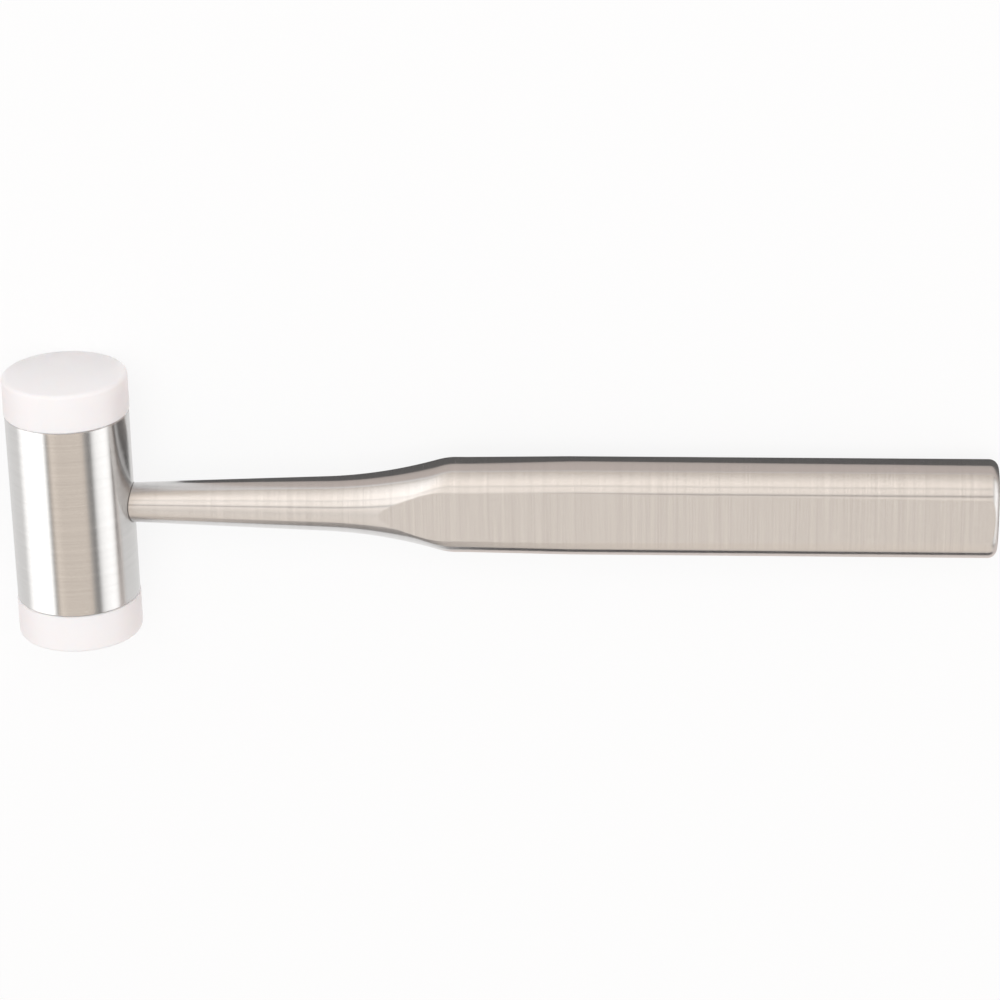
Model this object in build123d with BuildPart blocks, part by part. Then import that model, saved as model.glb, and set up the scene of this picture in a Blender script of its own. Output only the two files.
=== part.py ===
"""Surgical mallet: a stainless barrel with two screwed-in nylon caps on a flat-sided steel handle.

The mallet lies on its side, as it comes to rest. The handle runs along +X, the axis of the head
runs along Y, and +Z is up. The origin is at the middle of the footprint, on the surface that
the mallet lies on. All sizes are in millimetres.
"""

import os
from math import asin, atan, cos, degrees, radians, sin, tan

from build123d import *

# Head: barrel, and the slightly wider caps that screw into its ends
head_diameter = 27.0
barrel_diameter = 26.75
barrel_length = 43.0
barrel_edge_break = 0.25
cap_thickness = 8.6
cap_rim_chamfer = 0.4
cap_edge_break = 0.25

# Stem of a cap, and the blind bore that takes it
stem_diameter = 12.0
stem_length = 10.0
stem_lead_in = 0.8
stem_clearance = 0.06
bore_relief = 1.2
bore_mouth_chamfer = 0.5

# Tenon of the handle, seated on the floor of its own blind bore in the barrel
tenon_diameter = 8.6
tenon_depth = 17.0
tenon_tip_chamfer = 0.5
tenon_clearance = 0.02

# Neck: a slender cone between the barrel and the flare
neck_length = 42.7
neck_taper_angle = 2.16

# Flare: leaves the neck in tangent arcs, one for its height and a flatter one for its thickness
flare_length = 26.8
flare_height_arc = 96.0
flare_side_arc = 210.0
flare_runout = 3.8
flare_sections = 4

# Grip: an oval that gains a little height, then keeps it up to the butt
grip_length = 117.5
grip_start_height = 21.15
grip_height = 21.85
grip_swell_length = 22.0
grip_oval_width = 14.7
oval_joint_angle = 10.0

# Flats ground on both sides of the grip, opening slightly towards the butt
flat_start_thickness = 13.45
flat_butt_thickness = 13.9
butt_edge_radius = 2.0

# Sizes that follow from the ones above
head_radius = head_diameter / 2
barrel_radius = barrel_diameter / 2
stem_radius = stem_diameter / 2
tenon_radius = tenon_diameter / 2
neck_slope = tan(radians(neck_taper_angle))
shoulder_x = barrel_radius * cos(asin(tenon_radius / barrel_radius))
flare_x = shoulder_x + neck_length
grip_x = flare_x + flare_length
butt_x = grip_x + grip_length
flare_radius = tenon_radius + neck_length * neck_slope
swell_start_x = grip_x + flare_runout
swell_end_x = swell_start_x + grip_swell_length
overall_length = head_radius + butt_x

# Places: the head axis and the handle axis cross at the head centre
head_centre = Vector(head_radius - overall_length / 2, 0, head_radius)
head_plane = Plane(origin=head_centre, x_dir=(1, 0, 0), z_dir=(0, 1, 0))
handle_plane = Plane(origin=head_centre, x_dir=(0, 1, 0), z_dir=(1, 0, 0))
handle_axis = Axis(origin=head_centre, direction=(1, 0, 0))


def end_plane(side: int) -> Plane:
    """Plane of a barrel end face, looking outwards: side is 1 on +Y and -1 on -Y."""
    origin = head_centre + Vector(0, side * barrel_length / 2, 0)
    return Plane(origin=origin, x_dir=(1, 0, 0), z_dir=(0, side, 0))


def oval(half_height: float, half_width: float) -> Sketch:
    """An oval of four tangent arcs, with its height along the local x axis."""
    end_centre = (half_height - half_width) / (1 - tan(radians(oval_joint_angle / 2)))
    end_radius = half_height - end_centre
    joint_height = end_centre + end_radius * sin(radians(oval_joint_angle))
    joint_width = end_radius * cos(radians(oval_joint_angle))
    with BuildSketch() as outline:
        with BuildLine():
            ThreePointArc((joint_height, joint_width), (half_height, 0), (joint_height, -joint_width))
            ThreePointArc((joint_height, -joint_width), (0, -half_width), (-joint_height, -joint_width))
            ThreePointArc((-joint_height, -joint_width), (-half_height, 0), (-joint_height, joint_width))
            ThreePointArc((-joint_height, joint_width), (0, half_width), (joint_height, joint_width))
        make_face()
    return outline.sketch


def flare_half_size(distance: float, arc_radius: float) -> float:
    """Half size of the flare on an arc that starts along the neck, at a distance from its start."""
    return flare_radius + distance * neck_slope + distance**2 / (2 * arc_radius)


# Barrel: turned bar with a blind bore in each end and a radial one for the tenon
with BuildPart() as head_barrel:
    with BuildSketch(head_plane):
        Circle(barrel_radius)
    extrude(amount=barrel_length / 2, both=True)
    chamfer(head_barrel.edges().filter_by(GeomType.CIRCLE), length=barrel_edge_break)
    with Locations(end_plane(1), end_plane(-1)):
        CounterSinkHole(
            radius=stem_radius + stem_clearance,
            counter_sink_radius=stem_radius + stem_clearance + bore_mouth_chamfer,
            depth=stem_length + bore_relief,
            counter_sink_angle=90,
        )
    with Locations(handle_plane.offset(barrel_radius)):
        Hole(radius=tenon_radius + tenon_clearance, depth=tenon_depth)

head_barrel.part.label = "head_barrel"


def striking_cap(side: int, name: str) -> Part:
    """A nylon cap with its stem, as one turned piece: side is 1 on +Y and -1 on -Y."""
    with BuildPart() as cap:
        with BuildSketch(Plane(origin=head_centre, x_dir=(1, 0, 0), z_dir=(0, 0, side))):
            with BuildLine():
                Polyline(
                    (0, barrel_length / 2 - stem_length),
                    (stem_radius - stem_lead_in, barrel_length / 2 - stem_length),
                    (stem_radius, barrel_length / 2 - stem_length + stem_lead_in),
                    (stem_radius, barrel_length / 2),
                    (head_radius - cap_edge_break, barrel_length / 2),
                    (head_radius, barrel_length / 2 + cap_edge_break),
                    (head_radius, barrel_length / 2 + cap_thickness - cap_rim_chamfer),
                    (head_radius - cap_rim_chamfer, barrel_length / 2 + cap_thickness),
                    (0, barrel_length / 2 + cap_thickness),
                    close=True,
                )
            make_face()
        revolve(axis=Axis(origin=head_centre, direction=(0, 1, 0)))
    cap.part.label = name
    return cap.part


right_striking_cap = striking_cap(1, "right_striking_cap")
left_striking_cap = striking_cap(-1, "left_striking_cap")

# Handle: one forging with its tenon, neck, flare and flat-sided grip
with BuildPart() as handle:
    # Flare, grown past the grip and cut back to its oval, which leaves the crease between them
    for index in range(flare_sections):
        distance = (flare_length + flare_runout) * index / (flare_sections - 1)
        with BuildSketch(handle_plane.offset(flare_x + distance)):
            half_height = flare_half_size(distance, flare_height_arc)
            half_width = flare_half_size(distance, flare_side_arc)
            add(oval(half_height, half_width))
    loft()
    with BuildSketch(handle_plane.offset(flare_x)):
        add(oval(grip_start_height / 2, grip_oval_width / 2))
    extrude(amount=flare_length + flare_runout, mode=Mode.INTERSECT)

    # Grip: a short swell, then a constant oval to the rounded butt
    with BuildSketch(handle_plane.offset(swell_start_x)):
        add(oval(grip_start_height / 2, grip_oval_width / 2))
    with BuildSketch(handle_plane.offset(swell_end_x)):
        add(oval(grip_height / 2, grip_oval_width / 2))
    loft()
    with BuildSketch(handle_plane.offset(swell_end_x)):
        add(oval(grip_height / 2, grip_oval_width / 2))
    extrude(amount=butt_x - swell_end_x)
    fillet(handle.faces().sort_by(Axis.X)[-1].edges(), radius=butt_edge_radius)

    # Tenon and neck, turned about the handle axis
    with BuildSketch(Plane(origin=head_centre, x_dir=(1, 0, 0), z_dir=(0, 0, 1))):
        with BuildLine():
            Polyline(
                (barrel_radius - tenon_depth, 0),
                (barrel_radius - tenon_depth, tenon_radius - tenon_tip_chamfer),
                (barrel_radius - tenon_depth + tenon_tip_chamfer, tenon_radius),
                (shoulder_x, tenon_radius),
                (flare_x, flare_radius),
                (flare_x, 0),
                close=True,
            )
        make_face()
    revolve(axis=handle_axis)

    # Flats, each a plane that leans outwards towards the butt
    flat_lean = degrees(atan((flat_butt_thickness - flat_start_thickness) / 2 / grip_length))
    for side in (1, -1):
        flat_plane = Plane(
            origin=head_centre + Vector(grip_x, 0, side * flat_start_thickness / 2),
            x_dir=(0, 1, 0),
            z_dir=(-sin(radians(flat_lean)), 0, side * cos(radians(flat_lean))),
        )
        split(bisect_by=flat_plane, keep=Keep.BOTTOM)

handle.part.label = "handle"

os.makedirs("parts", exist_ok=True)
export_step(head_barrel.part, "parts/head_barrel.step")
export_step(right_striking_cap, "parts/right_striking_cap.step")
export_step(left_striking_cap, "parts/left_striking_cap.step")
export_step(handle.part, "parts/handle.step")
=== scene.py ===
"""Looks of the surgical mallet: brushed steel barrel and handle, white nylon caps, studio and camera.

Everything is in metres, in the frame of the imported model. The mallet lies on its side with its
handle along +X and the axis of its head along Y.
"""

import logging
import math
from dataclasses import dataclass
from enum import Enum

import bmesh
import bpy
from mathutils import Euler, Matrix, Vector


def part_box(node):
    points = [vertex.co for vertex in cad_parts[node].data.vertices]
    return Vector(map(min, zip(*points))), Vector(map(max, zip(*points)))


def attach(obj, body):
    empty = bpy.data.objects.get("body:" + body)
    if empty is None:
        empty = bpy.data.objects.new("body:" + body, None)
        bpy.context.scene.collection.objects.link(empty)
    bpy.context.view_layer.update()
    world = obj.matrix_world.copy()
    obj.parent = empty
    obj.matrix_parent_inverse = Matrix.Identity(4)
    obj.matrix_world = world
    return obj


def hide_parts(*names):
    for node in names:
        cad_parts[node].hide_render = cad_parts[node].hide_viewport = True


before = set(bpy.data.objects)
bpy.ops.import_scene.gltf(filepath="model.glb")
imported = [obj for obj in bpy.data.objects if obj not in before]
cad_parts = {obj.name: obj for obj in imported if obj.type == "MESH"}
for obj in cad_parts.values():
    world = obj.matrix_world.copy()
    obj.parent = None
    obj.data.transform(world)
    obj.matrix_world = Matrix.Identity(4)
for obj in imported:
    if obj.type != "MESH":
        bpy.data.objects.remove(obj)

log = logging.getLogger("mallet")
Socket = bpy.types.NodeSocket
Tree = bpy.types.NodeTree


class Axis(Enum):
    """Directions that a brushed finish can run round."""

    X = (1.0, 0.0, 0.0)
    Y = (0.0, 1.0, 0.0)


class End(Enum):
    """The two ends of the head, by the sign of their direction along Y."""

    RIGHT = 1
    LEFT = -1


def link(tree: Tree, source: Socket, target: Socket) -> None:
    """Join two sockets of a node tree.

    Args:
        tree: The node tree.
        source: An output socket.
        target: The input socket that it feeds.
    """
    tree.links.new(source, target)


def math_node(tree: Tree, operation: str, *values: float | Socket) -> Socket:
    """Add a Math node.

    Args:
        tree: The node tree that gets the node.
        operation: The node's operation, such as MULTIPLY.
        *values: A number or a socket for each input.

    Returns:
        The output socket.
    """
    node = tree.nodes.new("ShaderNodeMath")
    node.operation = operation
    for socket, value in zip(node.inputs, values):
        if isinstance(value, Socket):
            link(tree, value, socket)
        else:
            socket.default_value = value
    return node.outputs[0]


def new_material(name: str) -> tuple[bpy.types.Material, Tree, bpy.types.Node]:
    """Make a node material.

    Args:
        name: The material's name.

    Returns:
        The material, its tree and its Principled shader.
    """
    material = bpy.data.materials.new(name)
    material.use_nodes = True
    return material, material.node_tree, material.node_tree.nodes["Principled BSDF"]


def centred_coordinates(tree: Tree, centre: Vector) -> Socket:
    """Object coordinates, measured from a point.

    Args:
        tree: The material's node tree.
        centre: The point.

    Returns:
        The vector socket.
    """
    coordinates = tree.nodes.new("ShaderNodeTexCoord")
    mapping = tree.nodes.new("ShaderNodeMapping")
    mapping.inputs["Location"].default_value = -centre
    link(tree, coordinates.outputs["Object"], mapping.inputs["Vector"])
    return mapping.outputs["Vector"]


def noise(tree: Tree, vector: Socket, scale: float, detail: float) -> Socket:
    """Add a noise texture.

    Args:
        tree: The material's node tree.
        vector: Where the noise is read.
        scale: Its grains per metre.
        detail: Its octaves.

    Returns:
        The value socket.
    """
    texture = tree.nodes.new("ShaderNodeTexNoise")
    texture.inputs["Scale"].default_value = scale
    texture.inputs["Detail"].default_value = detail
    link(tree, vector, texture.inputs["Vector"])
    return texture.outputs["Fac"]


def mapped(
    tree: Tree, value: Socket, start: float, stop: float, low: float = 0.0, high: float = 1.0
) -> Socket:
    """Map one range of a value onto another, and hold it at its ends.

    Args:
        tree: The node tree.
        value: The value.
        start: Where the result is low.
        stop: Where the result is high.
        low: The result at the start.
        high: The result at the stop.

    Returns:
        The mapped socket.
    """
    node = tree.nodes.new("ShaderNodeMapRange")
    node.inputs["From Min"].default_value = start
    node.inputs["From Max"].default_value = stop
    node.inputs["To Min"].default_value = low
    node.inputs["To Max"].default_value = high
    link(tree, value, node.inputs["Value"])
    return node.outputs["Result"]


def spread(tree: Tree, value: Socket, low: float, high: float) -> Socket:
    """Map the middle of a noise onto a range.

    Args:
        tree: The material's node tree.
        value: The noise.
        low: The result where the noise is low.
        high: The result where it is high.

    Returns:
        The mapped socket.
    """
    return mapped(tree, value, 0.3, 0.7, low, high)


def shades(tree: Tree, factor: Socket, colour: tuple[float, float, float], depth: float) -> Socket:
    """Vary a colour a little by a factor.

    Args:
        tree: The material's node tree.
        factor: Darker at 0, lighter at 1.
        colour: The mean colour.
        depth: How far it goes either way, as a share of the colour.

    Returns:
        The colour socket.
    """
    node = tree.nodes.new("ShaderNodeMix")
    node.data_type = "RGBA"
    node.inputs["A"].default_value = (*[c * (1.0 - depth) for c in colour], 1.0)
    node.inputs["B"].default_value = (*[min(1.0, c * (1.0 + depth)) for c in colour], 1.0)
    link(tree, factor, node.inputs["Factor"])
    return node.outputs["Result"]


@dataclass(frozen=True)
class BrushedSteel:
    """Stainless steel with fine marks that run round an axis.

    The marks are narrow rings across the axis, so highlights are drawn out along it.
    """

    name: str
    axis: Axis
    centre: Vector
    colour: tuple[float, float, float]
    roughness: float = 0.25
    marks_per_metre: float = 3400.0
    mark_height: float = 2.2e-6
    mark_strength: float = 0.5
    mark_length: float = 120.0
    broad_mark_width: float = 6.0
    roughness_spread: float = 0.03
    tone_depth: float = 0.05
    tone_contrast: float = 1.8
    edge_radius: float = 0.00025

    def build(self) -> bpy.types.Material:
        """Make the material.

        Returns:
            The material.
        """
        material, tree, shader = new_material(self.name)
        shader.inputs["Metallic"].default_value = 1.0
        shader.inputs["Anisotropic"].default_value = 1.0
        place = centred_coordinates(tree, self.centre)

        rings = tree.nodes.new("ShaderNodeMapping")
        across = 1.0 / self.mark_length
        rings.inputs["Scale"].default_value = [1.0 if along else across for along in self.axis.value]
        link(tree, place, rings.inputs["Vector"])
        marks = noise(tree, rings.outputs["Vector"], self.marks_per_metre, 3.0)
        broad = noise(tree, rings.outputs["Vector"], self.marks_per_metre / self.broad_mark_width, 2.0)
        grain = noise(tree, place, self.marks_per_metre, 2.0)
        fine = math_node(tree, "MULTIPLY_ADD", grain, 0.3, math_node(tree, "MULTIPLY", marks, 0.4))
        both = math_node(tree, "MULTIPLY_ADD", broad, 0.3, fine)

        smooth, rough = (self.roughness + sign * self.roughness_spread for sign in (-1.0, 1.0))
        link(tree, spread(tree, both, smooth, rough), shader.inputs["Roughness"])
        tone = spread(tree, both, 0.5 - self.tone_contrast / 2, 0.5 + self.tone_contrast / 2)
        link(tree, shades(tree, tone, self.colour, self.tone_depth), shader.inputs["Base Color"])

        edge = tree.nodes.new("ShaderNodeBevel")
        edge.samples = 4
        edge.inputs["Radius"].default_value = self.edge_radius
        bump = tree.nodes.new("ShaderNodeBump")
        bump.inputs["Strength"].default_value = self.mark_strength
        bump.inputs["Distance"].default_value = self.mark_height
        link(tree, edge.outputs["Normal"], bump.inputs["Normal"])
        link(tree, marks, bump.inputs["Height"])
        link(tree, self.relief(tree, place, bump.outputs["Normal"]), shader.inputs["Normal"])

        drawn_out = tree.nodes.new("ShaderNodeCombineXYZ")
        for socket, value in zip(drawn_out.inputs, self.axis.value):
            socket.default_value = value
        link(tree, drawn_out.outputs["Vector"], shader.inputs["Tangent"])
        return material

    def relief(self, tree: Tree, place: Socket, normal: Socket) -> Socket:
        """The surface's normal: a plain bar has no relief beyond its marks.

        Args:
            tree: The material's node tree.
            place: Coordinates from the middle of the head.
            normal: The normal with the brushed marks.

        Returns:
            The normal socket.
        """
        return normal


@dataclass(frozen=True)
class TappedSteel(BrushedSteel):
    """The steel of the barrel, whose two end bores are tapped."""

    bore_radius: float = 0.0066
    pitch: float = 0.00175
    thread_depth: float = 0.0006

    def relief(self, tree: Tree, place: Socket, normal: Socket) -> Socket:
        """Add the turns of the thread inside the bores.

        Args:
            tree: The material's node tree.
            place: Coordinates from the middle of the head.
            normal: The normal with the brushed marks.

        Returns:
            The normal socket.
        """
        parts = tree.nodes.new("ShaderNodeSeparateXYZ")
        link(tree, place, parts.inputs["Vector"])
        x, y, z = (parts.outputs[name] for name in "XYZ")
        square = math_node(tree, "MULTIPLY_ADD", x, x, math_node(tree, "MULTIPLY", z, z))
        inside = math_node(tree, "LESS_THAN", math_node(tree, "SQRT", square), self.bore_radius)
        turn = math_node(tree, "DIVIDE", math_node(tree, "ARCTAN2", z, x), 2 * math.pi)
        climb = math_node(tree, "DIVIDE", y, self.pitch)
        flank = math_node(tree, "PINGPONG", math_node(tree, "ADD", climb, turn), 0.5)
        thread = tree.nodes.new("ShaderNodeBump")
        thread.inputs["Strength"].default_value = 1.0
        thread.inputs["Distance"].default_value = self.thread_depth
        link(tree, math_node(tree, "MULTIPLY", flank, inside), thread.inputs["Height"])
        link(tree, normal, thread.inputs["Normal"])
        return thread.outputs["Normal"]


@dataclass(frozen=True)
class MilkyNylon:
    """White nylon, smooth and slightly translucent."""

    name: str
    colour: tuple[float, float, float]
    roughness: float = 0.42
    roughness_spread: float = 0.05
    depth: float = 0.0015

    def build(self) -> bpy.types.Material:
        """Make the material.

        Returns:
            The material.
        """
        material, tree, shader = new_material(self.name)
        shader.inputs["Subsurface Weight"].default_value = 0.35
        shader.inputs["Subsurface Radius"].default_value = (1.0, 0.8, 0.7)
        shader.inputs["Subsurface Scale"].default_value = self.depth
        shader.inputs["IOR"].default_value = 1.5
        coordinates = tree.nodes.new("ShaderNodeTexCoord")
        cloud = noise(tree, coordinates.outputs["Object"], 180.0, 4.0)
        link(tree, shades(tree, cloud, self.colour, 0.015), shader.inputs["Base Color"])
        smooth, rough = (self.roughness + sign * self.roughness_spread for sign in (-1.0, 1.0))
        link(tree, spread(tree, cloud, smooth, rough), shader.inputs["Roughness"])
        bump = tree.nodes.new("ShaderNodeBump")
        bump.inputs["Strength"].default_value = 0.25
        bump.inputs["Distance"].default_value = 8.0e-6
        link(tree, cloud, bump.inputs["Height"])
        link(tree, bump.outputs["Normal"], shader.inputs["Normal"])
        return material


@dataclass(frozen=True)
class CreaseShadeBead:
    """A dull dark metal bead: painted shade for the crease where the neck meets the barrel."""

    name: str
    # Dark colour painted into the crease where the neck meets the barrel, where shade falls.
    colour: tuple[float, float, float] = (0.16, 0.15, 0.14)

    def build(self) -> bpy.types.Material:
        """Make the material.

        Returns:
            The material.
        """
        material, tree, shader = new_material(self.name)
        shader.inputs["Metallic"].default_value = 1.0
        coordinates = tree.nodes.new("ShaderNodeTexCoord")
        grain = noise(tree, coordinates.outputs["Object"], 1500.0, 3.0)
        link(tree, shades(tree, grain, self.colour, 0.2), shader.inputs["Base Color"])
        link(tree, spread(tree, grain, 0.45, 0.65), shader.inputs["Roughness"])
        return material


def fresh_tree(name: str) -> tuple[Tree, bpy.types.Node, bpy.types.Node]:
    """Start a Geometry Nodes tree that returns a mesh.

    Args:
        name: The tree's name.

    Returns:
        The tree, its input node and its output node.
    """
    tree = bpy.data.node_groups.new(name, "GeometryNodeTree")
    tree.interface.new_socket("Geometry", in_out="OUTPUT", socket_type="NodeSocketGeometry")
    return tree, tree.nodes.new("NodeGroupInput"), tree.nodes.new("NodeGroupOutput")


def add_inputs(tree: Tree, inputs: dict[str, str]) -> None:
    """Give a Geometry Nodes tree its named inputs.

    Args:
        tree: The tree.
        inputs: The socket type of each input, by name.
    """
    for name, kind in inputs.items():
        tree.interface.new_socket(name, in_out="INPUT", socket_type=kind)


def close_tree(tree: Tree, mesh: Socket, finish: Socket, output: bpy.types.Node) -> None:
    """End a tree in real geometry with its material.

    Args:
        tree: The tree.
        mesh: The mesh so far.
        finish: The material input.
        output: The tree's output node.
    """
    real = tree.nodes.new("GeometryNodeRealizeInstances")
    dressed = tree.nodes.new("GeometryNodeSetMaterial")
    link(tree, mesh, real.inputs["Geometry"])
    link(tree, real.outputs["Geometry"], dressed.inputs["Geometry"])
    link(tree, finish, dressed.inputs["Material"])
    link(tree, dressed.outputs["Geometry"], output.inputs["Geometry"])


def grown(name: str, tree: Tree, values: dict[str, object]) -> bpy.types.Object:
    """Run a Geometry Nodes tree and keep its result as a plain mesh.

    Args:
        name: The piece's name.
        tree: The tree.
        values: The value of each named input.

    Returns:
        The piece.
    """
    piece = bpy.data.objects.new(name, bpy.data.meshes.new(name))
    bpy.context.collection.objects.link(piece)
    modifier = piece.modifiers.new("shape", "NODES")
    modifier.node_group = tree
    for item in tree.interface.items_tree:
        if item.item_type == "SOCKET" and item.in_out == "INPUT":
            modifier[item.identifier] = values[item.name]
    evaluated = piece.evaluated_get(bpy.context.evaluated_depsgraph_get())
    mesh = bpy.data.meshes.new_from_object(evaluated)
    piece.modifiers.remove(modifier)
    piece.data = mesh
    mesh.name = name
    smooth_outside(mesh, 35.0)
    return piece


def smooth_outside(mesh: bpy.types.Mesh, sharp_degrees: float) -> None:
    """Point a closed mesh's faces outwards and shade it smooth, apart from its sharp edges.

    Args:
        mesh: The mesh.
        sharp_degrees: The angle between faces from which an edge stays sharp.
    """
    work = bmesh.new()
    work.from_mesh(mesh)
    bmesh.ops.recalc_face_normals(work, faces=work.faces)
    work.to_mesh(mesh)
    work.free()
    mesh.shade_smooth()
    mesh.set_sharp_from_angle(angle=math.radians(sharp_degrees))


@dataclass
class StrikingCap:
    """A turned nylon cap: a disc as wide as the head, and the threaded stem that holds it."""

    end: End
    node: str
    body: str
    rim_radius: float = 0.0009
    edge_break: float = 0.00025
    stem_radius: float = 0.006
    thread_depth: float = 0.0008
    pitch: float = 0.00175
    around: int = 160
    rim_steps: int = 8
    stem_around: int = 97
    stem_along: int = 91

    def __post_init__(self) -> None:
        """Read the cap's place and size from the frame."""
        low, high = (Vector(corner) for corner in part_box(self.node))
        barrel_low, barrel_high = (Vector(corner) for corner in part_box("head_barrel"))
        self.centre = (low + high) / 2
        self.radius = (high.x - low.x) / 2
        right = self.end is End.RIGHT
        self.seat = barrel_high.y if right else barrel_low.y
        self.face = high.y if right else low.y
        self.stem_length = abs(self.seat - (low.y if right else high.y))

    def disc(self, finish: bpy.types.Material) -> bpy.types.Object:
        """Turn the disc from its outline.

        Args:
            finish: The nylon.

        Returns:
            The piece.
        """
        thickness = abs(self.face - self.seat)
        outline = [(0.0, 0.0), (self.radius - self.edge_break, 0.0), (self.radius, self.edge_break)]
        outline.append((self.radius, (thickness - self.rim_radius) / 2))
        for step in range(self.rim_steps + 1):
            angle = math.radians(90.0 * step / self.rim_steps)
            outline.append((
                self.radius - self.rim_radius * (1.0 - math.cos(angle)),
                thickness - self.rim_radius * (1.0 - math.sin(angle)),
            ))
        outline.append((0.0, thickness))
        mesh = bpy.data.meshes.new(self.node + "_disc")
        work = bmesh.new()
        points = [Vector((radius, self.end.value * along, 0.0)) for radius, along in outline]
        ring = [work.verts.new(point) for point in points]
        edges = [work.edges.new(pair) for pair in zip(ring, ring[1:])]
        bmesh.ops.spin(
            work, geom=ring + edges, cent=(0, 0, 0), axis=(0, 1, 0), angle=2 * math.pi, steps=self.around
        )
        bmesh.ops.remove_doubles(work, verts=work.verts, dist=1.0e-7)
        bmesh.ops.translate(work, verts=work.verts, vec=Vector((self.centre.x, self.seat, self.centre.z)))
        work.to_mesh(mesh)
        work.free()
        smooth_outside(mesh, 30.0)
        mesh.materials.append(finish)
        piece = bpy.data.objects.new(self.node + "_disc", mesh)
        bpy.context.collection.objects.link(piece)
        return piece

    def thread_tree(self) -> Tree:
        """Geometry Nodes for a stem with a helical thread.

        Returns:
            The tree.
        """
        tree, given, output = fresh_tree("threaded_stem")
        add_inputs(tree, {
            "Crest Radius": "NodeSocketFloat",
            "Depth": "NodeSocketFloat",
            "Pitch": "NodeSocketFloat",
            "Length": "NodeSocketFloat",
            "Direction": "NodeSocketFloat",
            "Seat": "NodeSocketVector",
            "Around": "NodeSocketInt",
            "Along": "NodeSocketInt",
            "Finish": "NodeSocketMaterial",
        })
        size = {name: given.outputs[name] for name in (
            "Crest Radius", "Depth", "Pitch", "Length", "Direction", "Seat", "Around", "Along", "Finish"
        )}
        sheet = tree.nodes.new("GeometryNodeMeshGrid")
        link(tree, size["Along"], sheet.inputs["Vertices X"])
        link(tree, size["Around"], sheet.inputs["Vertices Y"])
        place = tree.nodes.new("GeometryNodeInputPosition")
        flat = tree.nodes.new("ShaderNodeSeparateXYZ")
        link(tree, place.outputs["Position"], flat.inputs["Vector"])
        along = math_node(tree, "ADD", flat.outputs["X"], 0.5)
        depth_in = math_node(tree, "MULTIPLY", along, size["Length"])
        turn = math_node(tree, "ADD", flat.outputs["Y"], 0.5)

        root = math_node(tree, "SUBTRACT", size["Crest Radius"], size["Depth"])
        climb = math_node(tree, "DIVIDE", depth_in, size["Pitch"])
        flank = math_node(tree, "PINGPONG", math_node(tree, "ADD", climb, turn), 0.5)
        raised = math_node(tree, "MULTIPLY_ADD", flank, 3.2, -0.3)
        ridge = tree.nodes.new("ShaderNodeClamp")
        link(tree, raised, ridge.inputs["Value"])
        thread = math_node(tree, "MULTIPLY_ADD", ridge.outputs["Result"], size["Depth"], root)
        relief = math_node(tree, "MULTIPLY", size["Pitch"], 0.6)
        run_out = math_node(tree, "ADD", root, math_node(
            tree, "MAXIMUM", math_node(tree, "SUBTRACT", depth_in, relief), 0.0
        ))
        lead_in = math_node(tree, "ADD", root, math_node(tree, "SUBTRACT", size["Length"], depth_in))
        radius = math_node(tree, "MINIMUM", thread, math_node(tree, "MINIMUM", run_out, lead_in))

        full_turn = math_node(tree, "MULTIPLY", turn, 2 * math.pi)
        angle = math_node(tree, "MULTIPLY", full_turn, size["Direction"])
        bent = tree.nodes.new("ShaderNodeCombineXYZ")
        link(tree, math_node(tree, "MULTIPLY", radius, math_node(tree, "COSINE", angle)), bent.inputs["X"])
        inwards = math_node(tree, "MULTIPLY", size["Direction"], -1.0)
        link(tree, math_node(tree, "MULTIPLY", depth_in, inwards), bent.inputs["Y"])
        link(tree, math_node(tree, "MULTIPLY", radius, math_node(tree, "SINE", angle)), bent.inputs["Z"])
        rolled = tree.nodes.new("GeometryNodeSetPosition")
        link(tree, sheet.outputs["Mesh"], rolled.inputs["Geometry"])
        link(tree, bent.outputs["Vector"], rolled.inputs["Position"])
        link(tree, size["Seat"], rolled.inputs["Offset"])
        joined = tree.nodes.new("GeometryNodeMergeByDistance")
        joined.inputs["Distance"].default_value = 1.0e-6
        link(tree, rolled.outputs["Geometry"], joined.inputs["Geometry"])
        close_tree(tree, joined.outputs["Geometry"], size["Finish"], output)
        return tree

    def stem(self, finish: bpy.types.Material) -> bpy.types.Object:
        """Grow the threaded stem and close its ends.

        Args:
            finish: The nylon.

        Returns:
            The piece.
        """
        piece = grown(self.node + "_stem", self.thread_tree(), {
            "Crest Radius": self.stem_radius,
            "Depth": self.thread_depth,
            "Pitch": self.pitch,
            "Length": self.stem_length,
            "Direction": float(self.end.value),
            "Seat": Vector((self.centre.x, self.seat, self.centre.z)),
            "Around": self.stem_around,
            "Along": self.stem_along,
            "Finish": finish,
        })
        work = bmesh.new()
        work.from_mesh(piece.data)
        bmesh.ops.holes_fill(work, edges=[edge for edge in work.edges if edge.is_boundary], sides=0)
        work.to_mesh(piece.data)
        work.free()
        smooth_outside(piece.data, 50.0)
        return piece

    def build(self, finish: bpy.types.Material) -> list[bpy.types.Object]:
        """Make the cap in place of its CAD node.

        Args:
            finish: The nylon.

        Returns:
            The cap's pieces.
        """
        disc = self.disc(finish)
        stem = self.stem(finish)
        for piece in (disc, stem):
            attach(piece, self.body)
        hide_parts(self.node)
        return [disc, stem]


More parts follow.
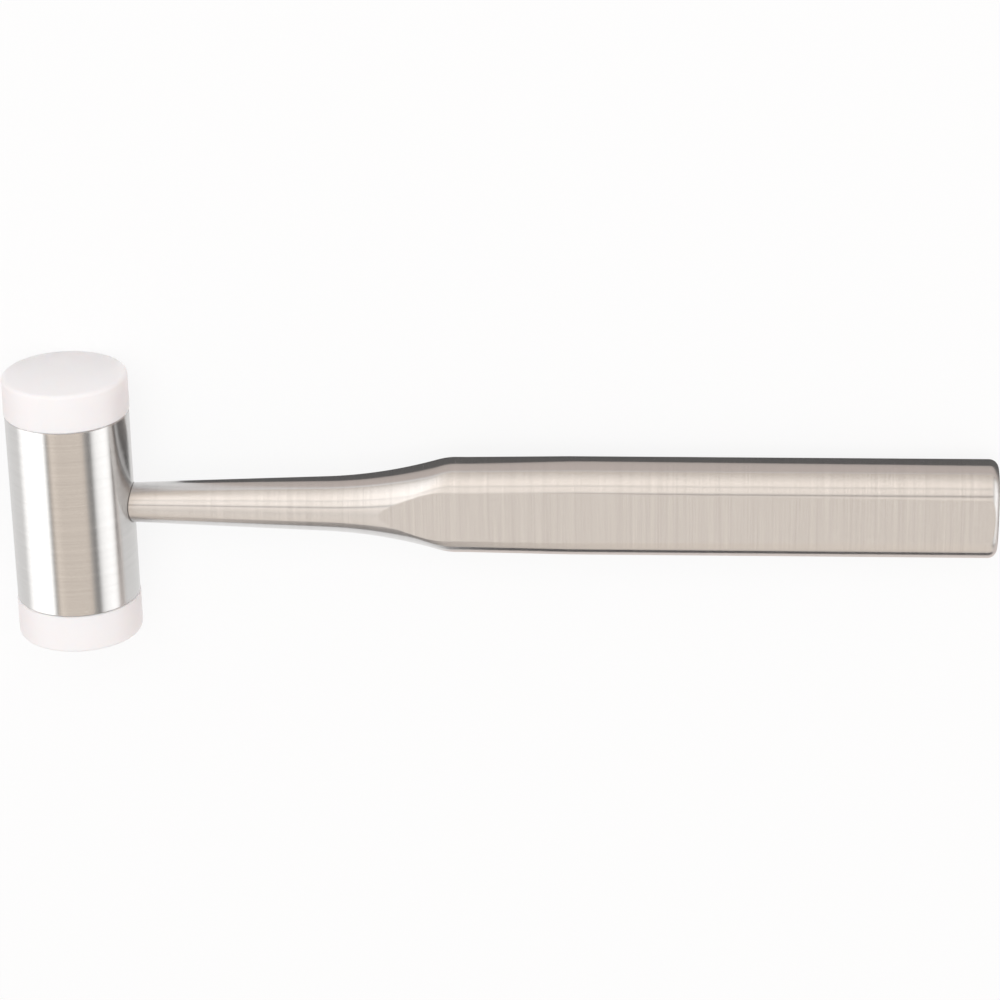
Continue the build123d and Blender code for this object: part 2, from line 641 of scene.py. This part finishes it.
@dataclass
class Barrel:
    """The turned steel barrel, with tapped ends and a bead of painted shade round the root of the neck."""

    node: str = "head_barrel"
    neck_radius: float = 0.0043
    bead_radius: float = 0.00011

    def __post_init__(self) -> None:
        """Read the barrel's place and size from the frame."""
        low, high = (Vector(corner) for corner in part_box(self.node))
        self.centre = (low + high) / 2
        self.radius = (high.x - low.x) / 2

    def crease_shade_tree(self) -> Tree:
        """Geometry Nodes for a fine dark bead of painted shade along the line where a round neck enters a
        round barrel.

        Returns:
            The tree.
        """
        tree, given, output = fresh_tree("neck_crease_shade")
        add_inputs(tree, {
            "Barrel Radius": "NodeSocketFloat",
            "Neck Radius": "NodeSocketFloat",
            "Bead Radius": "NodeSocketFloat",
            "Centre": "NodeSocketVector",
            "Finish": "NodeSocketMaterial",
        })
        ring = tree.nodes.new("GeometryNodeCurvePrimitiveCircle")
        ring.inputs["Resolution"].default_value = 96
        link(tree, given.outputs["Neck Radius"], ring.inputs["Radius"])
        place = tree.nodes.new("GeometryNodeInputPosition")
        parts = tree.nodes.new("ShaderNodeSeparateXYZ")
        link(tree, place.outputs["Position"], parts.inputs["Vector"])
        up = parts.outputs["Y"]
        reach = math_node(tree, "SQRT", math_node(
            tree, "SUBTRACT",
            math_node(tree, "MULTIPLY", given.outputs["Barrel Radius"], given.outputs["Barrel Radius"]),
            math_node(tree, "MULTIPLY", up, up),
        ))
        wrapped = tree.nodes.new("ShaderNodeCombineXYZ")
        link(tree, reach, wrapped.inputs["X"])
        link(tree, parts.outputs["X"], wrapped.inputs["Y"])
        link(tree, up, wrapped.inputs["Z"])
        bent = tree.nodes.new("GeometryNodeSetPosition")
        link(tree, ring.outputs["Curve"], bent.inputs["Geometry"])
        link(tree, wrapped.outputs["Vector"], bent.inputs["Position"])
        link(tree, given.outputs["Centre"], bent.inputs["Offset"])
        section = tree.nodes.new("GeometryNodeCurvePrimitiveCircle")
        section.inputs["Resolution"].default_value = 8
        link(tree, given.outputs["Bead Radius"], section.inputs["Radius"])
        bead = tree.nodes.new("GeometryNodeCurveToMesh")
        link(tree, bent.outputs["Geometry"], bead.inputs["Curve"])
        link(tree, section.outputs["Curve"], bead.inputs["Profile Curve"])
        close_tree(tree, bead.outputs["Mesh"], given.outputs["Finish"], output)
        return tree

    def build(self) -> list[bpy.types.Object]:
        """Dress the barrel and lay the bead of painted shade round the root of the neck.

        Returns:
            The barrel and the painted shade bead.
        """
        steel = TappedSteel("barrel_steel", Axis.Y, self.centre, (0.63, 0.62, 0.61)).build()
        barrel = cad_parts[self.node]
        dress(barrel, steel)
        crease_shade_line = grown("neck_crease_shade", self.crease_shade_tree(), {
            "Barrel Radius": self.radius,
            "Neck Radius": self.neck_radius,
            "Bead Radius": self.bead_radius,
            "Centre": self.centre,
            "Finish": CreaseShadeBead("painted_crease_shade").build(),
        })
        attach(crease_shade_line, "mallet")
        return [barrel, crease_shade_line]


@dataclass
class Handle:
    """The forged handle: neck, flare, flat-sided grip and butt.

    Its flare and grip are two ovals, and the handle is as wide as the smaller one at each angle.
    Where they meet, they blend softly into each other.
    """

    node: str = "handle"
    tenon_radius: float = 0.0043
    tenon_chamfer: float = 0.0005
    neck_slope: float = 0.03772
    flare_start: float = 0.055365
    flare_radius: float = 0.005911
    flare_height_arc: float = 0.096
    flare_side_arc: float = 0.210
    grip_start: float = 0.082165
    swell_start: float = 0.085965
    swell_end: float = 0.107965
    start_half_height: float = 0.010575
    grip_half_height: float = 0.010925
    oval_half_width: float = 0.00735
    oval_joint: float = 0.17453
    flat_half_thickness: float = 0.006725
    flat_lean: float = 0.001915
    butt_radius: float = 0.002
    blend: float = 0.0006
    around: int = 224
    crease_start: float = 0.068
    crease_run_out: float = 0.002
    butt_steps: int = 12

    def __post_init__(self) -> None:
        """Read the handle's ends from the frame."""
        low, high = (Vector(corner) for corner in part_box(self.node))
        self.low_x = low.x
        self.high_x = high.x

    def oval_reach(self, turn: float, half_height: float, half_width: float, inset: float = 0.0) -> float:
        """How far an oval of four tangent arcs reaches in a direction.

        Args:
            turn: The angle from the oval's height, in radians.
            half_height: Half of its height.
            half_width: Half of its width.
            inset: How far the outline is drawn in.

        Returns:
            The distance from its middle to its outline.
        """
        end_centre = (half_height - half_width) / (1.0 - math.tan(self.oval_joint / 2))
        end_radius = half_height - end_centre
        side_centre = end_centre / math.tan(self.oval_joint)
        side_radius = end_radius + end_centre / math.sin(self.oval_joint) - inset
        end_radius -= inset
        across, up = abs(math.sin(turn)), abs(math.cos(turn))
        joint = math.atan2(
            end_radius * math.cos(self.oval_joint), end_centre + end_radius * math.sin(self.oval_joint)
        )
        if math.atan2(across, up) < joint:
            return end_centre * up + math.sqrt(end_radius**2 - (end_centre * across) ** 2)
        return math.sqrt(side_radius**2 - (side_centre * up) ** 2) - side_centre * across

    def stations(self, centre_x: float) -> list[float]:
        """Distances from the head's middle at which the handle gets a section.

        Args:
            centre_x: Where the head's middle is.

        Returns:
            The distances, in order.
        """
        tip, butt = self.low_x - centre_x, self.high_x - centre_x
        root = self.flare_start - (self.flare_radius - self.tenon_radius) / self.neck_slope
        places = [tip, tip + self.tenon_chamfer, root]
        crease_end = self.swell_start + self.crease_run_out
        runs = (
            (root, self.flare_start, 16),
            (self.flare_start, self.crease_start, 22),
            (self.crease_start, crease_end, 80),
            (crease_end, self.swell_end, 20),
            (self.swell_end, butt - self.butt_radius, 30),
        )
        for start, stop, steps in runs:
            places += [start + (stop - start) * step / steps for step in range(1, steps + 1)]
        for step in range(1, self.butt_steps + 1):
            turn = math.pi / 2 * step / self.butt_steps
            places.append(butt - self.butt_radius * (1.0 - math.sin(turn)))
        return places

    def reach(self, place: float, turn: float, ends: tuple[float, float]) -> float:
        """How far the handle reaches from its axis.

        Args:
            place: The distance from the head's middle.
            turn: The angle from the height of the ovals, in radians.
            ends: Where the tip of the tenon and the butt are.

        Returns:
            The distance from the axis.
        """
        tip, butt = ends
        past = place - self.flare_start
        if past <= 0.0:
            chamfered = self.tenon_radius - self.tenon_chamfer + (place - tip)
            return min(max(self.tenon_radius, self.flare_radius + past * self.neck_slope), chamfered)
        height, width = (
            self.flare_radius + past * self.neck_slope + past**2 / (2 * arc)
            for arc in (self.flare_height_arc, self.flare_side_arc)
        )
        share = min(1.0, max(0.0, (place - self.swell_start) / (self.swell_end - self.swell_start)))
        grip_height = self.start_half_height + (self.grip_half_height - self.start_half_height) * share
        depth = max(0.0, place - (butt - self.butt_radius))
        inset = self.butt_radius - math.sqrt(max(0.0, self.butt_radius**2 - depth**2))
        grip = self.oval_reach(turn, grip_height, self.oval_half_width, inset)
        if past > 2 * (self.grip_start - self.flare_start):
            return grip
        flare = self.oval_reach(turn, height, width)
        near = max(self.blend - abs(flare - grip), 0.0) / self.blend
        return min(flare, grip) - near * near * self.blend / 4

    def shape(self, centre: Vector) -> bpy.types.Mesh:
        """Sweep the sections along the handle, and cut the two flats.

        Args:
            centre: The middle of the head, on the handle's axis.

        Returns:
            The mesh.
        """
        work = bmesh.new()
        ends = (self.low_x - centre.x, self.high_x - centre.x)
        rings = []
        for place in self.stations(centre.x):
            ring = []
            for step in range(self.around):
                turn = 2 * math.pi * step / self.around
                reach = self.reach(place, turn, ends)
                ring.append(work.verts.new(centre + Vector(
                    (place, reach * math.cos(turn), reach * math.sin(turn))
                )))
            rings.append(ring)
        for ring, following in zip(rings, rings[1:]):
            for step in range(self.around):
                after = (step + 1) % self.around
                work.faces.new((ring[step], ring[after], following[after], following[step]))
        work.faces.new(rings[0])
        work.faces.new(rings[-1])
        flats = []
        for side in (1.0, -1.0):
            cut = bmesh.ops.bisect_plane(
                work, geom=[*work.verts, *work.edges, *work.faces], clear_outer=True,
                plane_co=centre + Vector((self.grip_start, 0.0, side * self.flat_half_thickness)),
                plane_no=Vector((-self.flat_lean, 0.0, side)).normalized(),
            )
            border = [edge for edge in cut["geom_cut"] if isinstance(edge, bmesh.types.BMEdge)]
            flats += bmesh.ops.contextual_create(work, geom=border)["faces"]
        bmesh.ops.recalc_face_normals(work, faces=work.faces)
        mesh = bpy.data.meshes.new(self.node)
        for face in work.faces:
            face.smooth = True
        for edge in work.edges:
            edge.smooth = edge.calc_face_angle(0.0) < math.radians(30.0)
        for face in flats:
            face.smooth = False
            for edge in face.edges:
                edge.smooth = False
        work.to_mesh(mesh)
        work.free()
        return mesh

    def build(self, centre: Vector) -> list[bpy.types.Object]:
        """Make the handle in place of its CAD node, in steel that is brushed across it.

        Args:
            centre: The middle of the head, on the handle's axis.

        Returns:
            The handle.
        """
        handle = bpy.data.objects.new("handle_bar", self.shape(centre))
        bpy.context.collection.objects.link(handle)
        dress(handle, BrushedSteel("handle_steel", Axis.X, centre, (0.675, 0.664, 0.658)).build())
        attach(handle, "mallet")
        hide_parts(self.node)
        return [handle]


def dress(obj: bpy.types.Object, material: bpy.types.Material) -> None:
    """Give every slot of an object one material.

    Args:
        obj: The object.
        material: The material.
    """
    obj.data.materials.clear()
    obj.data.materials.append(material)


@dataclass(frozen=True)
class Band:
    """A stop of the studio's light: an angle from straight up, and how bright it is there."""

    degrees: float
    light: float
    warmth: float = 0.0
    more_red: float = 0.12
    less_blue: float = 0.11

    def colour(self, top: float) -> tuple[float, float, float, float]:
        """The stop's colour.

        Args:
            top: The light that counts as 1.

        Returns:
            Red, green, blue and alpha.
        """
        level = self.light / top
        red = level * (1.0 + self.more_red * self.warmth)
        blue = level * (1.0 - self.less_blue * self.warmth)
        return (red, level, blue, 1.0)


@dataclass
class Room:
    """The light round the object: two side softboxes under a grey ceiling, as the steel shows them."""

    ambient: float = 0.7
    top: float = 2.0
    low_edge_light: float = 0.75
    patch_gain: float = 0.4
    side_tint: tuple[float, float, float, float] = (1.0, 0.6, 0.5, 1.0)
    across: tuple[Band, ...] = (
        Band(-90, 1.8), Band(-35, 1.8), Band(-32, 1.0), Band(-30, 0.45), Band(-26, 0.5, 1),
        Band(-22, 0.8, 1), Band(-18, 0.78, 1), Band(-12, 0.72, 1), Band(5, 0.73, 1), Band(27, 0.76, 1),
        Band(32, 0.72, 1), Band(37, 0.42), Band(41, 0.28), Band(46, 0.24), Band(49, 1.3), Band(51, 1.8),
        Band(90, 1.8),
    )
    along: tuple[Band, ...] = (
        Band(-90, 1.05), Band(-80, 1.15), Band(-72, 1.18), Band(-62, 1.18), Band(-53, 1.18), Band(-42, 1.17),
        Band(-32, 1.14), Band(-22, 1.08), Band(-12, 1.22), Band(-1, 1.35), Band(2, 1.15), Band(4, 0.55),
        Band(8, 0.5), Band(10, 1.1), Band(13, 1.26), Band(24, 1.26), Band(30, 1.27), Band(32, 0.98),
        Band(35, 0.98), Band(37, 1.34), Band(43, 1.38), Band(51, 1.34), Band(60, 1.22), Band(69, 1.08),
        Band(79, 0.98), Band(90, 0.88), Band(100, 0.75),
    )

    def ramp(self, tree: Tree, angle: Socket, limit_degrees: float, bands: tuple[Band, ...]) -> Socket:
        """Turn an angle into light by a row of bands.

        Args:
            tree: The world's node tree.
            angle: The angle, in radians.
            limit_degrees: The largest angle either way.
            bands: The stops, in order.

        Returns:
            The colour socket.
        """
        limit = math.radians(limit_degrees)
        ramp = tree.nodes.new("ShaderNodeValToRGB")
        stops = ramp.color_ramp.elements
        while len(stops) < len(bands):
            stops.new(1.0)
        for stop, band in zip(stops, bands):
            stop.position = (band.degrees + limit_degrees) / (2 * limit_degrees)
            stop.color = band.colour(self.top)
        link(tree, mapped(tree, angle, -limit, limit), ramp.inputs["Fac"])
        return ramp.outputs["Color"]

    def build(self) -> None:
        """Fill the world: white past the floor, softboxes for the steel, an even light for the rest.

        Towards the sides, the steel sees the softboxes, and between them the ceiling. A brighter patch
        over the head lights the flare from the front.
        """
        world = bpy.data.worlds.new("room")
        world.use_nodes = True
        tree = world.node_tree
        tree.nodes.clear()
        direction = tree.nodes.new("ShaderNodeTexCoord")
        parts = tree.nodes.new("ShaderNodeSeparateXYZ")
        link(tree, direction.outputs["Generated"], parts.inputs["Vector"])
        x, y, z = (parts.outputs[name] for name in "XYZ")
        aside = math_node(tree, "ABSOLUTE", x)
        sideways = mapped(tree, aside, 0.5, 0.65)
        low_edge = mapped(tree, z, -0.02, 0.06, self.low_edge_light / self.top, 1.0 / self.top)
        depth = tree.nodes.new("ShaderNodeMix")
        depth.data_type = "RGBA"
        link(tree, sideways, depth.inputs["Factor"])
        link(tree, self.ramp(tree, math_node(tree, "ARCTAN2", y, z), 180.0, self.along), depth.inputs["A"])
        link(tree, low_edge, depth.inputs["B"])
        banded = tree.nodes.new("ShaderNodeMix")
        banded.data_type = "RGBA"
        banded.blend_type = "MULTIPLY"
        banded.inputs["Factor"].default_value = 1.0
        link(tree, self.ramp(tree, math_node(tree, "ARCSINE", x), 90.0, self.across), banded.inputs["A"])
        link(tree, depth.outputs["Result"], banded.inputs["B"])
        patch = math_node(tree, "MULTIPLY", mapped(tree, x, -0.1, -0.4), mapped(tree, y, -0.1, 0.1))
        strength = math_node(tree, "MULTIPLY_ADD", patch, self.patch_gain * self.top**2, self.top**2)

        even = tree.nodes.new("ShaderNodeBackground")
        even.inputs["Strength"].default_value = self.ambient
        studio = tree.nodes.new("ShaderNodeBackground")
        link(tree, strength, studio.inputs["Strength"])
        link(tree, banded.outputs["Result"], studio.inputs["Color"])
        white = tree.nodes.new("ShaderNodeBackground")
        white.inputs["Color"].default_value = (1.0, 1.0, 1.0, 1.0)
        tint = tree.nodes.new("ShaderNodeMix")
        tint.data_type = "RGBA"
        tint.inputs["A"].default_value = (1.0, 1.0, 1.0, 1.0)
        tint.inputs["B"].default_value = self.side_tint
        link(tree, mapped(tree, aside, 0.6, 0.95), tint.inputs["Factor"])
        link(tree, tint.outputs["Result"], even.inputs["Color"])
        path = tree.nodes.new("ShaderNodeLightPath")
        for_steel = tree.nodes.new("ShaderNodeMixShader")
        for_camera = tree.nodes.new("ShaderNodeMixShader")
        output = tree.nodes.new("ShaderNodeOutputWorld")
        link(tree, path.outputs["Is Glossy Ray"], for_steel.inputs["Fac"])
        link(tree, even.outputs["Background"], for_steel.inputs[1])
        link(tree, studio.outputs["Background"], for_steel.inputs[2])
        link(tree, path.outputs["Is Camera Ray"], for_camera.inputs["Fac"])
        link(tree, for_steel.outputs["Shader"], for_camera.inputs[1])
        link(tree, white.outputs["Background"], for_camera.inputs[2])
        link(tree, for_camera.outputs["Shader"], output.inputs["Surface"])
        bpy.context.scene.world = world


@dataclass
class Studio:
    """Pale floor, sheets that only the steel sees and that paint shade and floor tones into its reflections,
    a soft lamp and the camera.
    """

    floor_size: float = 6.0
    whiteness: float = 0.85
    lens_mm: float = 128.7
    camera_place: tuple[float, float, float] = (0.0454682, 0.31372, 0.71710)
    camera_turn_degrees: tuple[float, float, float] = (-23.968, 3.2743, -0.9672)

    def __post_init__(self) -> None:
        """Find the floor that the head and the butt of the handle both rest on."""
        head_low, head_high = (Vector(corner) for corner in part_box("right_striking_cap"))
        grip_low, grip_high = (Vector(corner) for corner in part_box("handle"))
        self.head = Vector(((head_low.x + head_high.x) / 2, 0.0, (head_low.z + head_high.z) / 2))
        radius = self.head.z - head_low.z
        reach = Vector((grip_high.x - self.head.x, 0.0, grip_low.z - self.head.z))
        self.tilt = math.asin(radius / reach.length) - math.atan2(-reach.z, reach.x)
        down = Vector((math.sin(self.tilt), 0.0, -math.cos(self.tilt)))
        self.touch = self.head + down * radius

    def on_floor(self, x: float, y: float, height: float) -> Vector:
        """Find a place over the floor.

        Args:
            x: The distance from the head along the floor.
            y: The distance to the side.
            height: The distance from the floor.

        Returns:
            The place in the frame of the model.
        """
        along = Vector((math.cos(self.tilt), 0.0, math.sin(self.tilt)))
        up = Vector((-math.sin(self.tilt), 0.0, math.cos(self.tilt)))
        return self.touch + along * x + up * height + Vector((0.0, y, 0.0))

    def sheet(self, name: str, corners: list[Vector], material: bpy.types.Material) -> bpy.types.Object:
        """A flat sheet of the studio, which isn't part of the object.

        Args:
            name: The sheet's name.
            corners: Its corners, in order.
            material: What it is made of.

        Returns:
            The sheet.
        """
        mesh = bpy.data.meshes.new(name)
        mesh.from_pydata(corners, [], [tuple(range(len(corners)))])
        mesh.materials.append(material)
        sheet = bpy.data.objects.new(name, mesh)
        bpy.context.collection.objects.link(sheet)
        return sheet

    def floor(self) -> bpy.types.Object:
        """Lay the pale floor.

        Returns:
            The floor.
        """
        material, tree, shader = new_material("floor_white")
        shader.inputs["Base Color"].default_value = (0.9, 0.9, 0.9, 1.0)
        shader.inputs["Roughness"].default_value = 0.9
        shader.inputs["Specular IOR Level"].default_value = 0.0
        glow = tree.nodes.new("ShaderNodeEmission")
        glow.inputs["Color"].default_value = (1.0, 1.0, 1.0, 1.0)
        path = tree.nodes.new("ShaderNodeLightPath")
        seen = math_node(tree, "MAXIMUM", path.outputs["Is Camera Ray"], path.outputs["Is Glossy Ray"])
        blend = tree.nodes.new("ShaderNodeMixShader")
        link(tree, math_node(tree, "MULTIPLY", seen, self.whiteness), blend.inputs["Fac"])
        link(tree, shader.outputs["BSDF"], blend.inputs[1])
        link(tree, glow.outputs["Emission"], blend.inputs[2])
        link(tree, blend.outputs["Shader"], tree.nodes["Material Output"].inputs["Surface"])
        half = self.floor_size / 2
        signs = ((-1, -1), (1, -1), (1, 1), (-1, 1))
        return self.sheet("floor", [self.on_floor(half * x, half * y, 0.0) for x, y in signs], material)

    def painted_reflection_cards(self) -> None:
        """Set sheets that only the steel sees: painted reflections of shade and floor tones, which give the
        handle its dark rims.

        A lying card is a row of places on the floor, and a standing one a row of places over it.
        """
        # Painted reflections: near and under paint the floor's shade round and under the object, front and
        # back paint grey and pale floor tones, and the standing grip and neck sheets paint dark bands.
        near = [
            (0.021, 0.0), (0.078, 0.0), (0.082, -0.0125), (0.215, -0.0125), (0.215, 0.021),
            (0.110, 0.020), (0.082, 0.026), (0.050, 0.018), (0.021, 0.0125),
        ]
        under = [(-0.017, -0.042), (0.0095, -0.042), (0.0095, 0.036), (-0.017, 0.036)]
        front = [(0.024, 0.0), (0.6, 0.0), (0.6, 0.4), (0.024, 0.4)]
        back = [(0.078, -0.2), (0.6, -0.2), (0.6, 0.0), (0.078, 0.0)]
        grip = [(0.078, 0.004), (0.215, 0.0005), (0.215, 0.0115), (0.078, 0.0165)]
        neck = [(0.016, 0.012), (0.068, 0.012), (0.068, 0.085), (0.016, 0.085)]
        # A painted dark reflection for shade, and painted grey and pale reflections of the floor.
        black = self.painted_reflection_material("painted_shade_reflection", (0.17, 0.17, 0.17))
        grey = self.painted_reflection_material("painted_grey_floor_reflection", (0.67, 0.615, 0.58))
        pale = self.painted_reflection_material("painted_pale_floor_reflection", (0.82, 0.765, 0.73))
        lying = (
            ("near_painted_shadow", near, 0.0006, black),
            ("under_painted_shadow", under, 0.0004, black),
            ("front_painted_floor_reflection", front, 0.0002, grey),
            ("back_painted_floor_reflection", back, 0.0002, pale),
        )
        standing = (("grip_painted_dark_band", grip, -0.040), ("neck_painted_dark_band", neck, -0.130))
        sheets = [
            self.sheet(name, [self.on_floor(x, y, height) for x, y in outline], shade)
            for name, outline, height, shade in lying
        ]
        sheets += [
            self.sheet(name, [self.on_floor(x, y, height) for x, height in outline], black)
            for name, outline, y in standing
        ]
        # The painted reflections are hidden from the camera, from diffuse light and from shadows.
        for card in sheets:
            card.visible_camera = False
            card.visible_diffuse = False
            card.visible_shadow = False
            card.visible_transmission = False

    def painted_reflection_material(self, name: str, shade: tuple[float, float, float]) -> bpy.types.Material:
        """Matt sheet for a painted reflection, which only the steel sees.

        Args:
            name: The material's name.
            shade: How much of each colour it throws back.

        Returns:
            The material.
        """
        material, tree, shader = new_material(name)
        shader.inputs["Roughness"].default_value = 0.95
        shader.inputs["Specular IOR Level"].default_value = 0.0
        coordinates = tree.nodes.new("ShaderNodeTexCoord")
        grain = noise(tree, coordinates.outputs["Object"], 900.0, 2.0)
        link(tree, shades(tree, grain, shade, 0.1), shader.inputs["Base Color"])
        return material

    def lamp(self) -> None:
        """Hang one large soft lamp overhead, towards the camera."""
        place = Vector((-0.08, 0.55, 1.5))
        data = bpy.data.lights.new("overhead_lamp", "AREA")
        data.shape = "SQUARE"
        data.size = 1.6
        data.energy = 11.5
        lamp = bpy.data.objects.new("overhead_lamp", data)
        lamp.location = place
        lamp.rotation_euler = (-place).to_track_quat("-Z", "Y").to_euler()
        lamp.visible_camera = False
        lamp.visible_glossy = False
        bpy.context.collection.objects.link(lamp)

    def camera(self) -> None:
        """Place the camera over the lying mallet, as in the picture."""
        data = bpy.data.cameras.new("camera")
        data.lens = self.lens_mm
        data.sensor_width = 36.0
        data.clip_start = 0.01
        camera = bpy.data.objects.new("camera", data)
        camera.location = self.camera_place
        camera.rotation_euler = Euler([math.radians(a) for a in self.camera_turn_degrees], "XYZ")
        bpy.context.collection.objects.link(camera)
        bpy.context.scene.camera = camera

    def build(self) -> None:
        """Set up everything round the object."""
        self.floor()
        self.painted_reflection_cards()
        self.lamp()
        Room().build()
        self.camera()


def main() -> None:
    """Build the looks of the mallet and its studio."""
    logging.basicConfig(level=logging.INFO, format="%(name)s: %(message)s")
    bpy.context.scene.view_settings.view_transform = "Standard"
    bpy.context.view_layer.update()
    nylon = MilkyNylon("cap_nylon", (0.94, 0.938, 0.95)).build()
    barrel = Barrel()
    pieces = barrel.build()
    pieces += Handle().build(barrel.centre)
    pieces += StrikingCap(End.RIGHT, "right_striking_cap", "right_cap").build(nylon)
    pieces += StrikingCap(End.LEFT, "left_striking_cap", "left_cap").build(nylon)
    for piece in pieces:
        log.info("%s: %d faces", piece.name, len(piece.data.polygons))
    Studio().build()


if __name__ == "__main__":
    main()
